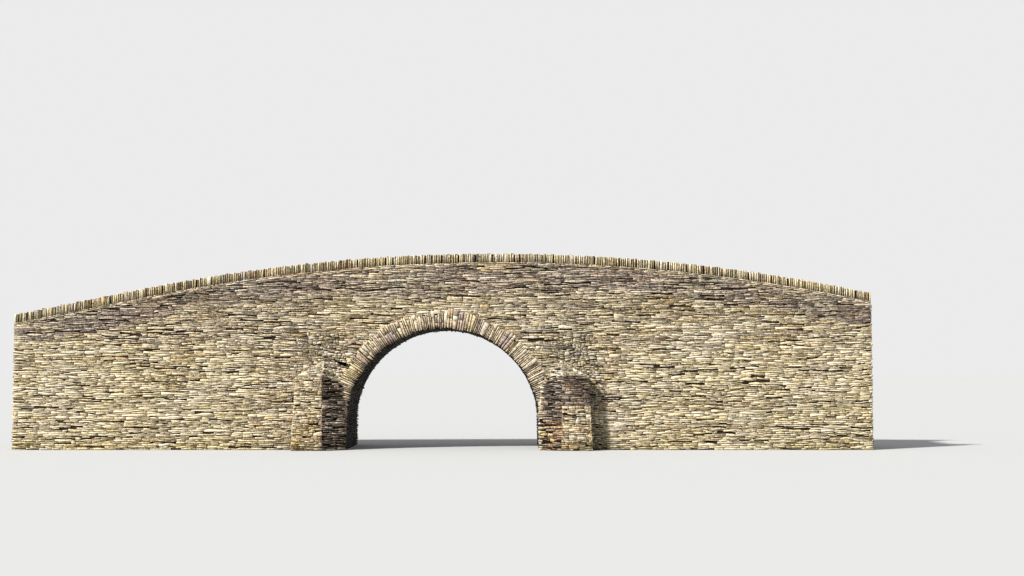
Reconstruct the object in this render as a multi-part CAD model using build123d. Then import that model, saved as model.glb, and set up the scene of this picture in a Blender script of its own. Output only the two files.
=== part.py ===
"""A humped rubble stone arch bridge: one semicircular span between long wing walls.

Millimetres. +X runs along the road, +Y across it from the front face to the rear, +Z up.
The origin is on the centre line of the waterway, midway between the two faces, at water level.
"""

import math
import os

from build123d import *

# Waterway and arch
clear_span = 8230.0
springing_height = 1050.0
barrel_thickness = 600.0
voussoir_count = 95
voussoir_widths = (1.0, 0.8, 1.25, 0.9, 1.1, 0.7, 1.3, 0.95)
voussoir_depths = (760.0, 700.0, 820.0, 730.0, 790.0, 670.0, 750.0)
voussoir_joint = 10.0

# Bridge in plan
bridge_length = 36400.0
bridge_width = 4500.0
face_wall_thickness = 600.0
parapet_thickness = 450.0
abutment_length = 2885.0

# Hump of the road: a crest arc that runs out into straight ramps
crest_height = 8320.0
crest_offset = 2300.0
crest_radius = 76000.0
ramp_slope = 0.2

# Parapets and road
parapet_height = 1200.0
road_thickness = 150.0
coping_height = 350.0
coping_pitch = 160.0
coping_joint = 16.0
coping_bed = 60.0
coping_widths = (1.0, 0.85, 1.2, 0.75, 1.1, 0.95, 1.25, 0.8, 1.1)
coping_steps = (0.0, 22.0, -14.0, 9.0, -24.0, 16.0, -5.0, 28.0, -18.0, 4.0, -9.0)

# Battered buttresses that splay away from the waterway, roofed by three slopes that meet at the wall
buttress_projection = 750.0
buttress_front_length = 1250.0
buttress_batter = 3.0
buttress_splay = 34.0
buttress_shoulder_height = 2950.0
buttress_jamb_shoulder_height = 2450.0
buttress_peak_height = 3750.0
splay_meets_jamb_height = 2000.0

# A stone has fallen out of the front spandrel beside the left haunch
lost_stone_length = 560.0
lost_stone_height = 150.0
lost_stone_depth = 260.0
lost_stone_overlap = 220.0
lost_stone_height_above_water = 3640.0
lost_stone_tilt = 20.0

half_span = clear_span / 2
half_length = bridge_length / 2
half_width = bridge_width / 2
abutment_back = half_span + abutment_length
fill_half_width = half_width - face_wall_thickness
road_half_width = half_width - parapet_thickness
parapet_foot = parapet_height + road_thickness
longest_voussoir = max(voussoir_depths)
beyond = 2 * bridge_width
left, right, front, rear = -1, 1, -1, 1
side_names = {left: "left", right: "right"}
face_names = {front: "front", rear: "rear"}


def slab(outline, y_low, y_high):
    """An outline drawn in elevation, X across and Z up, given its thickness from y_low to y_high."""
    upright = Plane((0, y_high, 0), x_dir=(1, 0, 0), z_dir=(0, -1, 0)) * outline
    return extrude(upright, amount=y_high - y_low, dir=(0, -1, 0))


def block(x_low, x_high, y_low, y_high, z_low, z_high):
    """A plain block between two corners."""
    size = (x_high - x_low, y_high - y_low, z_high - z_low)
    return Pos(x_low, y_low, z_low) * Box(*size, align=(Align.MIN, Align.MIN, Align.MIN))


def face_band(face, thickness):
    """The lowest and highest Y of a wall of that thickness behind the front or rear face."""
    return sorted((face * half_width, face * (half_width - thickness)))


def polar(radius, angle):
    """A point of the elevation at a radius and angle about the springing centre."""
    return (radius * math.cos(angle), springing_height + radius * math.sin(angle))


def uneven_joints(count, widths):
    """Places from 0 to 1 of the joints between stones whose widths repeat in these proportions."""
    shares = [widths[i % len(widths)] for i in range(count)]
    return [sum(shares[:i]) / sum(shares) for i in range(count + 1)]


# The line of the road


def below_hump(depth):
    """The whole elevation from water level to a line that lies a depth below the top of the coping."""
    crest_centre = crest_height - depth - crest_radius
    ramp_angle = math.atan(ramp_slope)
    tangent_run = crest_radius * math.sin(ramp_angle)
    tangent_height = crest_centre + crest_radius * math.cos(ramp_angle)
    far = tangent_run + bridge_length
    far_height = tangent_height - (far - tangent_run) * ramp_slope
    ends = [(crest_offset + side * far, far_height) for side in (left, right)]
    tangents = [(crest_offset + side * tangent_run, tangent_height) for side in (left, right)]
    crest = (crest_offset, crest_centre + crest_radius)
    foot = -bridge_length
    edges = [
        Line(ends[0], tangents[0]),
        ThreePointArc(tangents[0], crest, tangents[1]),
        Line(tangents[1], ends[1]),
        Polyline(ends[1], (ends[1][0], foot), (ends[0][0], foot), ends[0]),
    ]
    bridge_extent = Rectangle(bridge_length, crest_height, align=(Align.CENTER, Align.MIN))
    return make_face(edges) & bridge_extent


def hump_height(x, depth):
    """The height of the line that lies a depth below the top of the coping."""
    run = abs(x - crest_offset)
    tangent_run = crest_radius * math.sin(math.atan(ramp_slope))
    on_arc = min(run, tangent_run)
    drop = crest_radius - math.sqrt(crest_radius**2 - on_arc**2)
    return crest_height - depth - drop - (run - on_arc) * ramp_slope


def hump_mass(depth, x_low, x_high, y_low, y_high):
    """Everything under that line between two ends and two faces."""
    reach = block(x_low, x_high, y_low, y_high, 0, crest_height)
    return slab(below_hump(depth), y_low, y_high) & reach


def hump_layer(top_depth, bottom_depth, x_low, x_high, y_low, y_high):
    """A layer that follows the hump, such as a parapet or the road."""
    layer = below_hump(top_depth) - below_hump(bottom_depth)
    reach = block(x_low, x_high, y_low, y_high, 0, crest_height)
    return slab(layer, y_low, y_high) & reach


# The arch


def voussoir_corners():
    """Four corners of each voussoir, joint centre to joint centre: inner pair, then outer pair.

    They run from the right springing over the crown to the left springing.
    """
    angles = [math.pi * place for place in uneven_joints(voussoir_count, voussoir_widths)]
    corners = []
    for i, (start, end) in enumerate(zip(angles, angles[1:])):
        outer = half_span + voussoir_depths[i % len(voussoir_depths)]
        corners.append((polar(half_span, start), polar(half_span, end), polar(outer, end), polar(outer, start)))
    return corners


def narrowed(corners):
    """A voussoir's outline with half a joint taken off each flank, along its own bed."""
    inner_start, inner_end, outer_end, outer_start = (Vector(*corner) for corner in corners)
    half_joint = (inner_end - inner_start).normalized() * (voussoir_joint / 2)
    return (inner_start + half_joint, inner_end - half_joint, outer_end - half_joint, outer_start + half_joint)


def arch_ring(face):
    """One wedge for each voussoir, long and short, with open joints."""
    band = face_band(face, face_wall_thickness)
    stones = [slab(make_face(Polyline(*narrowed(c), close=True)), *band) for c in voussoir_corners()]
    return Compound(children=[stone.solid() for stone in stones])


def ring_outline():
    """The stepped outline of the voussoirs' tails, with the waterway and abutments under it."""
    steps = []
    for _, _, outer_end, outer_start in voussoir_corners():
        steps += [outer_start, outer_end]
    spread = half_span + longest_voussoir
    return make_face(Polyline((spread, springing_height), *steps, (-spread, springing_height), close=True))


def waterway_outline():
    """The clear opening: upright jambs under a semicircle."""
    jambs = Rectangle(clear_span, springing_height, align=(Align.CENTER, Align.MIN))
    head = Pos(0, springing_height) * Circle(half_span)
    return jambs + head


def arch_barrel():
    """The vault between the two face rings."""
    springing_line = Pos(0, springing_height) * Rectangle(
        bridge_length, crest_height, align=(Align.CENTER, Align.MIN)
    )
    vault = Circle(half_span + barrel_thickness) - Circle(half_span)
    return slab((Pos(0, springing_height) * vault) & springing_line, -fill_half_width, fill_half_width)


# Masses of masonry and fill


def abutment(side):
    """The mass under the springing, the full width of the bridge."""
    x_low, x_high = sorted((side * half_span, side * abutment_back))
    return block(x_low, x_high, -half_width, half_width, 0, springing_height)


def spandrel(side, face):
    """The face wall over one half of the arch, cut to the tails of the voussoirs."""
    x_low, x_high = sorted((0, side * abutment_back))
    band = face_band(face, face_wall_thickness)
    wall = hump_mass(parapet_foot, x_low, x_high, *band)
    wall -= slab(ring_outline(), *band)
    return wall - block(x_low, x_high, *band, 0, springing_height)


def lost_stone():
    """The hole that a fallen stone leaves, slanting down towards the arch."""
    rise = lost_stone_height_above_water - springing_height
    tail = half_span + longest_voussoir
    centre = lost_stone_overlap - lost_stone_length / 2 - math.sqrt(tail**2 - rise**2)
    hole = Box(lost_stone_length, 2 * lost_stone_depth, lost_stone_height)
    return Pos(centre, -half_width, lost_stone_height_above_water) * Rot(0, lost_stone_tilt, 0) * hole


def wing_wall(side, face):
    """The retaining wall from the abutment to the end of the bridge."""
    x_low, x_high = sorted((side * abutment_back, side * half_length))
    return hump_mass(parapet_foot, x_low, x_high, *face_band(face, face_wall_thickness))


def fill(side):
    """The packed rubble between the face walls, over the barrel and behind the abutment."""
    x_low, x_high = sorted((0, side * half_length))
    mass = hump_mass(parapet_foot, x_low, x_high, -fill_half_width, fill_half_width)
    extrados = Pos(0, springing_height) * Circle(half_span + barrel_thickness)
    mass -= slab(extrados, -fill_half_width, fill_half_width)
    return mass - block(-abutment_back, abutment_back, -half_width, half_width, 0, springing_height)


def under(*corners):
    """Everything below the plane through three points, named anticlockwise as seen from above."""
    a, b, c = (Vector(*corner) for corner in corners)
    plane = Plane(a, x_dir=b - a, z_dir=(b - a).cross(c - a))
    return plane * Box(beyond, beyond, 2 * beyond, align=(Align.CENTER, Align.CENTER, Align.MAX))


def buttress():
    """The right front buttress: battered on every side, splayed at the jamb, with a hipped top."""
    splay = math.radians(buttress_splay)
    arris_shift = splay_meets_jamb_height * math.tan(math.radians(buttress_batter)) / math.sin(splay)
    front_line = -half_width - buttress_projection
    back_line = -half_width + buttress_projection
    foot = half_span - arris_shift
    run = buttress_projection / math.tan(splay)
    corner = foot + run
    outer = corner + buttress_front_length
    footprint = Polyline(
        (corner, front_line), (outer, front_line), (outer, back_line), (foot - run, back_line), close=True
    )
    shaft = extrude(make_face(footprint), amount=buttress_peak_height, taper=buttress_batter)
    jamb_shoulder = (foot, -half_width, buttress_jamb_shoulder_height)
    corner_shoulder = (corner, front_line, buttress_shoulder_height)
    outer_shoulder = (outer, front_line, buttress_shoulder_height)
    wall_shoulder = (outer, -half_width, buttress_shoulder_height)
    peak = (corner, -half_width, buttress_peak_height)
    eaves = (jamb_shoulder, corner_shoulder, outer_shoulder, wall_shoulder)
    for start, end in zip(eaves, eaves[1:]):
        shaft &= under(start, end, peak)
    behind_face = block(0, half_length, -half_width, beyond, 0, crest_height)
    waterway = slab(waterway_outline(), -beyond, beyond)
    return shaft - behind_face - waterway


# Coping


def coping_comb(x_low, x_high):
    """Elevation of a run of coping slabs on edge: level tops of their own, parted by wedge-shaped joints."""
    count = max(2, round((x_high - x_low) / coping_pitch))
    joints = [x_low + (x_high - x_low) * place for place in uneven_joints(count, coping_widths)]
    points = [(x_low, 0)]
    for i, (start, end) in enumerate(zip(joints, joints[1:])):
        top = hump_height((start + end) / 2, 0) + coping_steps[i % len(coping_steps)]
        first, last = i == 0, i == count - 1
        points.append((start if first else start + coping_joint / 2, top))
        points.append((end if last else end - coping_joint / 2, top))
        points.append((end, 0 if last else hump_height(end, coping_height - coping_bed)))
    return make_face(Polyline(*points, close=True))


def coping(x_low, x_high, face):
    """A run of coping bedded on the parapet."""
    stones = coping_comb(x_low, x_high) - below_hump(coping_height)
    return slab(stones, *face_band(face, parapet_thickness))


def parapet(x_low, x_high, face):
    """The parapet wall under the coping, founded on the face wall."""
    return hump_layer(coping_height, parapet_foot, x_low, x_high, *face_band(face, parapet_thickness))


def roadway():
    """The road between the parapets."""
    return hump_layer(parapet_height, parapet_foot, -half_length, half_length, -road_half_width, road_half_width)


def reflected(shape, side, face):
    """A copy of a right front piece for any of the four corners."""
    if side == left:
        shape = mirror(shape, about=Plane.YZ)
    if face == rear:
        shape = mirror(shape, about=Plane.XZ)
    return shape


def parts():
    """Every sub-part by its node name."""
    nodes = {"arch_barrel": arch_barrel(), "roadway": roadway()}
    runs = {
        "left": (-half_length, -abutment_back),
        "crest": (-abutment_back, abutment_back),
        "right": (abutment_back, half_length),
    }
    right_buttress = buttress()
    for side, side_name in side_names.items():
        nodes[f"{side_name}_abutment"] = abutment(side)
        nodes[f"{side_name}_fill"] = fill(side)
    for face, face_name in face_names.items():
        nodes[f"{face_name}_arch_ring"] = arch_ring(face)
        for side, side_name in side_names.items():
            nodes[f"{face_name}_{side_name}_spandrel"] = spandrel(side, face)
            nodes[f"{face_name}_{side_name}_wing_wall"] = wing_wall(side, face)
            nodes[f"{face_name}_{side_name}_buttress"] = reflected(right_buttress, side, face)
        for run_name, (x_low, x_high) in runs.items():
            nodes[f"{face_name}_{run_name}_parapet"] = parapet(x_low, x_high, face)
            nodes[f"{face_name}_{run_name}_coping"] = coping(x_low, x_high, face)
    nodes["front_left_spandrel"] -= lost_stone()
    return nodes


os.makedirs("parts", exist_ok=True)
for name, shape in parts().items():
    export_step(shape, f"parts/{name}.step")
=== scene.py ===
"""The looks of a humped rubble stone bridge: its separate stones, their finishes, the light and the camera.

Metres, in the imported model's frame: +X along the road, +Y across it from front to rear, +Z up.
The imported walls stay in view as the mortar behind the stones, which stand a little proud of them.
"""

import math
import random

import bpy
import numpy as np
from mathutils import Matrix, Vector

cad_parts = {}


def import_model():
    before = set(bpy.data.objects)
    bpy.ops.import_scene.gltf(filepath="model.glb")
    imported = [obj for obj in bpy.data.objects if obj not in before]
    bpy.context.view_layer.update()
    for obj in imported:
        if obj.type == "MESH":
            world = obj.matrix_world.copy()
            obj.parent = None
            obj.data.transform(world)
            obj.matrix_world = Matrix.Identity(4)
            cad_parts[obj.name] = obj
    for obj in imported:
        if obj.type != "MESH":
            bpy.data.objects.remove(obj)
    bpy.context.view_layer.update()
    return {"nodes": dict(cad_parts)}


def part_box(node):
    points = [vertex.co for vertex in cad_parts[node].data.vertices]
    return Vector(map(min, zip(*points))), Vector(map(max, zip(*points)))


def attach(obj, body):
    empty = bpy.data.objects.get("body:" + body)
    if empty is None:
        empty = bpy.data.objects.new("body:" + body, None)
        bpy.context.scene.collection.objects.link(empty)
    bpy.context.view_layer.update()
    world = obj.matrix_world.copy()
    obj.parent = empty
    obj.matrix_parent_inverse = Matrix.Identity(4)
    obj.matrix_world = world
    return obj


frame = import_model()

BODY = "root"
LEFT, RIGHT, FRONT, REAR = -1, 1, -1, 1
SIDES = {LEFT: "left", RIGHT: "right"}
FACES = {FRONT: "front", REAR: "rear"}

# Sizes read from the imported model
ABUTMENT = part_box("right_abutment")
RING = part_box("front_arch_ring")
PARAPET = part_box("rear_crest_parapet")
HALF_SPAN = ABUTMENT[0].x
ABUTMENT_BACK = ABUTMENT[1].x
SPRINGING = ABUTMENT[1].z
HALF_WIDTH = ABUTMENT[1].y
HALF_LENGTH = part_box("roadway")[1].x
ROAD_HALF_WIDTH = PARAPET[0].y
RING_DEPTH = RING[1].x - HALF_SPAN
RING_MIDDLE = HALF_SPAN + RING_DEPTH / 2
INTRADOS = math.pi * HALF_SPAN

# The hump of the road and the layers under the top of the coping, as the part has them
CREST_HEIGHT = 8.32
CREST_OFFSET = 2.3
CREST_RADIUS = 76.0
RAMP_SLOPE = 0.2
COPING_HEIGHT = 0.35
PARAPET_HEIGHT = 1.2
PARAPET_FOOT = 1.35
COPING_PITCH = 0.16
COPING_WIDTHS = (1.0, 0.85, 1.2, 0.75, 1.1, 0.95, 1.25, 0.8, 1.1)
COPING_STEPS = (0.0, 0.022, -0.014, 0.009, -0.024, 0.016, -0.005, 0.028, -0.018, 0.004, -0.009)
VOUSSOIR_COUNT = 95
VOUSSOIR_WIDTHS = (1.0, 0.8, 1.25, 0.9, 1.1, 0.7, 1.3, 0.95)
VOUSSOIR_DEPTHS = (0.76, 0.7, 0.82, 0.73, 0.79, 0.67, 0.75)

# The hole of the stone that has fallen out beside the left haunch
HOLE_LENGTH = 0.56
HOLE_OVERLAP = 0.22
HOLE_LEVEL = 3.64
HOLE_TILT = math.radians(20)
HOLE_REACH = math.sqrt((HALF_SPAN + RING_DEPTH) ** 2 - (HOLE_LEVEL - SPRINGING) ** 2)
HOLE_CENTRE = HOLE_OVERLAP - HOLE_LENGTH / 2 - HOLE_REACH
HOLE_GAPS = (
    (HOLE_CENTRE + 0.04, HOLE_LEVEL - 0.013, 0.42, 0.125, HOLE_TILT - 0.04),
    (HOLE_CENTRE - 0.22, HOLE_LEVEL + 0.08, 0.2, 0.07, HOLE_TILT + 0.06),
)

# How the stones are cut
BED_JOINT = (0.01, 0.027)
HEAD_JOINT = (0.003, 0.012)
HEAD_SLANT = 0.22
CORNER_LOSS = 0.12
UNEVENNESS = 0.006
EDGE_PIECE = 0.22
BLUNT_RISE = 0.06
LEAST_LENGTH = 0.035
LEAST_RISE = 0.014
LEAST_CUT = 0.016
NEAREST_CORNERS = 0.012

# How they are laid
BED_SWING = 0.4
COURSE_WARP = 0.04
LEAST_SPLIT_RISE = 0.065
LONGEST_TALL_STONE = 0.5
CORNER_LAP = 0.03
LEVELLING_COURSE = 0.13

# How far they stand out, and how rough their faces are
PROUD = (0.018, 0.058)
INNER_PROUD = (0.012, 0.035)
LEVELLING_PROUD = (0.014, 0.058)
RING_PROUD = (0.03, 0.07)
LINING_PROUD = (0.01, 0.032)
COPING_PROUD = (0.028, 0.078)
EDGE_WEAR = 0.012
ROUGHNESS = 0.0045
COPING_ROUGHNESS = 0.0035
ROUGHEST_HALF_RISE = 0.04

# The least, most and usual rise of the courses
WALL_RISE = (0.045, 0.125, 0.078)
BAND_RISE = (0.06, 0.15, 0.095)
INNER_RISE = BAND_RISE
PARAPET_RISE = (0.042, 0.11, 0.07)
LINING_RISE = (0.07, 0.17, 0.1)
BUTTRESS_RISE = (0.045, 0.13, 0.075)
END_RISE = (0.06, 0.15, 0.09)

# The shortest, longest and usual stone, the share of thin pairs, and the share of stones two courses tall
WALL_SIZES = (0.18, 1.5, 0.55, 0.38, 0.02)
BAND_SIZES = (0.3, 1.5, 0.6, 0.4, 0.02)
HAUNCH_SIZES = (0.08, 0.4, 0.15, 0.55, 0.06)
PARAPET_SIZES = (0.2, 1.5, 0.6, 0.4, 0.01)
INNER_SIZES = (0.2, 1.2, 0.4, 0.3, 0.04)
LEVELLING_SIZES = (0.2, 1.1, 0.45, 0.0, 0.1)
LINING_SIZES = (0.18, 0.8, 0.35, 0.2, 0.05)
BUTTRESS_SIZES = (0.12, 0.65, 0.27, 0.25, 0.06)
END_SIZES = (0.16, 0.9, 0.34, 0.3, 0.06)

# How much the tints gather, how often a stone is like its neighbour, and how far it keeps a tint of its own
GATHERING = 1.9
ALIKE = 0.5
OWN_TINT = 0.6
# How much lighter and darker the stones of a wall are than one another
SPREAD = 0.22
BUTTRESS_SPREAD = 0.26
SPLAY_SPREAD = 0.42
COPING_SPREAD = 0.34

# Small helpers


def everywhere(value):
    """The same answer for every place."""
    return lambda *place: value


def seeded(seed, face):
    """The chance for the stones of one face: the rear takes the seed after the front's."""
    return random.Random(seed + (face == REAR))


def between_sides(edge):
    """The two upright lines that bound a drawing."""
    return (1.0, 0.0, edge), (-1.0, 0.0, edge)


# Paints and palettes


def linear(level):
    """A level of paint from 0 to 255 as linear light."""
    return level / 255 / 12.92 if level <= 10 else ((level / 255 + 0.055) / 1.055) ** 2.4


def paint(red, green, blue):
    """A paint colour as linear light."""
    return linear(red), linear(green), linear(blue)


def blended(colour, other, share):
    """A colour with a share of another in it."""
    return tuple((1 - share) * a + share * b for a, b in zip(colour, other))


PAINTS = {
    "cream": paint(240, 224, 188),
    "buff": paint(224, 203, 162),
    "straw": paint(236, 215, 164),
    "ochre": paint(214, 184, 132),
    "rose": paint(212, 188, 166),
    "stone_grey": paint(198, 187, 168),
    "slate_grey": paint(156, 150, 140),
    "umber": paint(146, 124, 102),
    "purple_grey": paint(172, 156, 148),
    "rust": paint(200, 162, 132),
    "lichen": paint(242, 235, 220),
    "mossy": paint(188, 182, 150),
    "yellowed": paint(232, 215, 162),
}
PAINTS["ruddy"] = blended(PAINTS["rust"], PAINTS["buff"], 0.45)
PAINTS["slab_grey"] = blended(PAINTS["lichen"], PAINTS["stone_grey"], 0.65)


def toned(tints, light):
    """The same tints, all lighter or darker."""
    return tuple((tuple(light * c for c in tint), weight) for tint, weight in tints)


def palette(light, **weights):
    """Tints for one kind of walling: named paints and how common each is, all lighter or darker."""
    return toned([(PAINTS[name], weight) for name, weight in weights.items()], light)


WALL_TINTS = palette(
    1.38, cream=26, buff=30, ochre=9, rose=8, stone_grey=15, slate_grey=6, umber=5, lichen=6, mossy=3
)
END_TINTS = toned(WALL_TINTS, 0.68)
SUNLIT_TINTS = palette(1.67, cream=30, straw=38, buff=24, ochre=10, lichen=6, stone_grey=3, umber=3)
FLECKED_TINTS = palette(1.07, stone_grey=30, buff=22, lichen=16, cream=12, mossy=10, slate_grey=10, ochre=5)
BAND_TINTS = palette(1.72, cream=30, buff=26, straw=14, ochre=6, rose=7, stone_grey=10, lichen=7, umber=2)
PARAPET_TINTS = palette(
    1.19, purple_grey=32, slate_grey=12, stone_grey=26, umber=6, rose=14, buff=12, lichen=5
)
LEVELLING_TINTS = palette(
    1.15, buff=28, cream=30, rust=3, ochre=3, rose=20, stone_grey=12, lichen=8, umber=4
)
RUDDY_TINTS = palette(1.15, cream=30, straw=18, rust=14, rose=24, ochre=10)
RING_TINTS = palette(1.15, buff=26, rose=30, cream=18, stone_grey=14, purple_grey=10, umber=6, lichen=4)
STRAW_TINTS = palette(1.0, straw=40, cream=30, buff=20, ochre=10)
COPING_TINTS = palette(
    1.1, buff=30, yellowed=30, cream=28, ochre=9, stone_grey=9, slate_grey=4, lichen=7, rust=6, mossy=4
)
BUTTRESS_TINTS = palette(1.15, buff=30, cream=20, ochre=28, rose=10, stone_grey=6, lichen=5, umber=8, rust=6)
# Painted shadow: the corner of the left front jamb, and the right front buttress high up
SHADED_TINTS = palette(0.6, umber=26, purple_grey=30, slate_grey=16, rose=12, stone_grey=12)
EARTHY_TINTS = palette(0.9, rust=50, rose=12, umber=18, ochre=16, purple_grey=8)
# Painted sunlight: the arris by the right front jamb, on the wall and on the buttress
PAINTED_SUNLIGHT_TINTS = palette(1.35, lichen=40, cream=30, rose=14, stone_grey=14)
ROOF_TINTS = palette(1.0, stone_grey=34, lichen=26, cream=18, buff=12, mossy=10)
# Painted shade on the splays of the buttresses
SHADED_SPLAY_TINTS = palette(0.95, umber=26, purple_grey=24, slate_grey=16, rust=4, stone_grey=12, rose=12)
# Nearly black: painted shade under the arch, with damp
SHADED_SOFFIT_TINTS = palette(0.06, stone_grey=22, purple_grey=22, umber=18, slate_grey=18, rose=10, mossy=6)


# The line of the road


def hump(x, depth=0.0):
    """The height of a line some depth below the top of the coping, at one place or at an array of them."""
    run = np.abs(x - CREST_OFFSET)
    on_arc = np.minimum(run, CREST_RADIUS * math.sin(math.atan(RAMP_SLOPE)))
    drop = CREST_RADIUS - np.sqrt(CREST_RADIUS**2 - on_arc**2)
    return CREST_HEIGHT - depth - drop - (run - on_arc) * RAMP_SLOPE


def uneven_joints(count, widths):
    """Places from 0 to 1 of the joints between stones whose widths repeat in these proportions."""
    shares = [widths[i % len(widths)] for i in range(count)]
    return [sum(shares[:i]) / sum(shares) for i in range(count + 1)]


# Laying out stones as outlines on a flat drawing of each surface


def drift(u, v, kind):
    """A smooth patchwork from -1 to 1, long along the courses, that differs for each kind."""
    turn = 2.4 * kind
    broad = math.sin(0.7 * u + 0.5 * v + turn) * math.sin(1.5 * v - 0.3 * u + 1.7 * turn)
    small = math.sin(2.3 * u + 3.1 * v + 2.9 * turn) * math.sin(3.7 * v - 1.1 * u + 0.8 * turn)
    return 0.65 * broad + 0.35 * small


def warp(u, v):
    """How far the courses wander up or down at a place, less near the ground."""
    slow = math.sin(1.2 * u + 1.3 * v + 0.4) + 0.7 * math.sin(2.3 * u - 2.1 * v + 2.2)
    quick = 0.4 * math.sin(4.7 * u + 3.1 * v) + 0.2 * math.sin(9.1 * u - 5.0 * v + 1.0)
    return COURSE_WARP * min(1.0, max(0.0, v)) * (slow + quick) / 2.3


class Bed:
    """A joint that runs the length of a wall, rising and falling a little, or aslant through a pivot."""

    WAVES = ((0.45, (1.2, 3.0)), (0.55, (0.5, 1.1)))

    def __init__(self, rng, level, swing, slope=0.0, pivot=0.0):
        self.level, self.slope, self.pivot = level, slope, pivot
        self.waves = []
        for share, length in self.WAVES:
            self.waves.append((swing * share, math.tau / rng.uniform(*length), rng.uniform(0, math.tau)))

    def __call__(self, u):
        wander = sum(size * math.sin(pace * u + start) for size, pace, start in self.waves)
        return self.level + self.slope * (u - self.pivot) + wander


class Between:
    """A joint that divides a course in two, in other shares at its start than at its end."""

    def __init__(self, low, high, start, end, shares):
        self.low, self.high, self.start, self.length, self.shares = low, high, start, end - start, shares

    def __call__(self, u):
        low, high = self.low(u), self.high(u)
        first, last = self.shares
        return low + (high - low) * (first + (last - first) * (u - self.start) / self.length)


def beds(rng, low, high, rise_at):
    """Bed joints from low up past high. rise_at(level) gives the least, most and usual rise of a course."""
    levels = [low]
    while levels[-1] < high + 0.1:
        levels.append(levels[-1] + rng.triangular(*rise_at(levels[-1])))
    rises = [after - before for before, after in zip(levels, levels[1:])]
    swings = [0.0] + [BED_SWING * min(pair) for pair in zip(rises, rises[1:])] + [0.0]
    return [Bed(rng, level, swing) for level, swing in zip(levels, swings)]


def free_run(u, want, taken, shortest):
    """Where the next stone of a course can lie: its start and end, clear of what taller stones fill."""
    for start, end in taken:
        if start - shortest < u < end:
            u = end
    following = [start for start, _ in taken if start > u]
    end = u + want
    if following and end > following[0] - shortest:
        end = following[0]
    return u, end


def rubble(rng, u_low, u_high, lines, sizes_at):
    """Stretches of coursed rubble: each is its two head joints and the bed joints under and over the stone.

    A head joint is the pair of places where it meets the lower and the upper bed.
    sizes_at(u, v) gives the shortest, longest and usual stone there, the share of stones that are two thin
    ones, one on the other, and the share that rise through two courses.
    """
    tall = []
    for i, (low, high) in enumerate(zip(lines, lines[1:])):
        taken, tall = sorted(tall), []
        rise = high.level - low.level
        u, shift = u_low - rng.uniform(0, 0.3), 0.0
        while u < u_high:
            short, long, usual, thin_share, tall_share = sizes_at(u, low.level)
            u, end = free_run(u, rng.triangular(short, long, usual), taken, short)
            next_shift = rise * rng.uniform(-HEAD_SLANT, HEAD_SLANT)
            first, last = (u - shift, u + shift), (end - next_shift, end + next_shift)
            kind = rng.random()
            if kind < tall_share and i + 2 < len(lines) and end - u < LONGEST_TALL_STONE:
                tall.append((u, end))
                yield first, last, low, lines[i + 2]
            elif kind < tall_share + thin_share and rise > LEAST_SPLIT_RISE:
                middle = Between(low, high, u, end, (rng.uniform(0.25, 0.75), rng.uniform(0.25, 0.75)))
                yield from side_by_side(rng, (first[0], u), (last[0], end), low, middle)
                yield from side_by_side(rng, (u, first[1]), (end, last[1]), middle, high)
            else:
                yield first, last, low, high
            u, shift = end, next_shift


def side_by_side(rng, start, end, low, high):
    """Thin stones end to end between two head joints."""
    length = (sum(end) - sum(start)) / 2
    count = 1 + (length > 0.3 and rng.random() < 0.4) + (length > 0.7 and rng.random() < 0.6)
    heads = [start]
    for cut in sorted(rng.uniform(0.2, 0.8) for _ in range(count - 1)):
        slant = rng.uniform(-0.01, 0.01)
        lower, upper = (first + (last - first) * cut for first, last in zip(start, end))
        heads.append((lower - slant, upper + slant))
    heads.append(end)
    for first, last in zip(heads, heads[1:]):
        yield first, last, low, high


def stone_outline(rng, start, end, low, high, warped=True, bed_joint=BED_JOINT):
    """The outline of a stone between two head joints and two beds, with uneven edges and worn corners."""
    gap_u, gap_v = rng.uniform(*HEAD_JOINT) / 2, rng.uniform(*bed_joint) / 2
    middle = (sum(start) + sum(end)) / 4
    length = (sum(end) - sum(start)) / 2 - 2 * gap_u
    rise = high(middle) - low(middle) - 2 * gap_v
    if rise < LEAST_RISE or length < LEAST_LENGTH:
        return None
    corner = CORNER_LOSS * min(rise, 0.1)
    rough = min(UNEVENNESS, 0.12 * rise)
    parts = min(5, 1 + int(length / EDGE_PIECE))

    def side(joint, lift, which):
        first = start[which] + gap_u + rng.uniform(0, corner)
        last = end[which] - gap_u - rng.uniform(0, corner)
        places = [first + (last - first) * (k + rng.uniform(-0.2, 0.2)) / parts for k in range(1, parts)]
        points = []
        for u in (first, *places, last):
            half_rise = (high(u) - low(u)) / 2
            lifted = min(gap_v + rng.uniform(-rough, rough), half_rise - 0.005)
            points.append((u, joint(u) + lift * max(lifted, 0.0)))
        return points

    def nose(head, inward):
        share = rng.uniform(0.3, 0.7)
        u = head[0] + (head[1] - head[0]) * share + inward * gap_u
        return (u, low(u) + (high(u) - low(u)) * share)

    blunt = rise > BLUNT_RISE
    outline = side(low, 1, 0)
    if blunt:
        outline.append(nose(end, -1))
    outline += reversed(side(high, -1, 1))
    if blunt:
        outline.append(nose(start, 1))
    return [(u, v + warp(u, v)) for u, v in outline] if warped else outline


def clipped(outline, normal_u, normal_v, reach):
    """The part of an outline on the near side of a line."""
    kept = []
    for (u, v), (next_u, next_v) in zip(outline, outline[1:] + outline[:1]):
        here = reach - (normal_u * u + normal_v * v)
        there = reach - (normal_u * next_u + normal_v * next_v)
        if here >= 0:
            kept.append((u, v))
        if (here < 0) != (there < 0):
            share = here / (here - there)
            kept.append((u + (next_u - u) * share, v + (next_v - v) * share))
    return kept


def tidied(outline):
    """An outline without points that all but coincide."""
    kept = []
    for point in outline:
        if not kept or math.dist(kept[-1], point) > NEAREST_CORNERS:
            kept.append(point)
    if len(kept) > 1 and math.dist(kept[0], kept[-1]) < NEAREST_CORNERS:
        kept.pop()
    return kept


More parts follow.
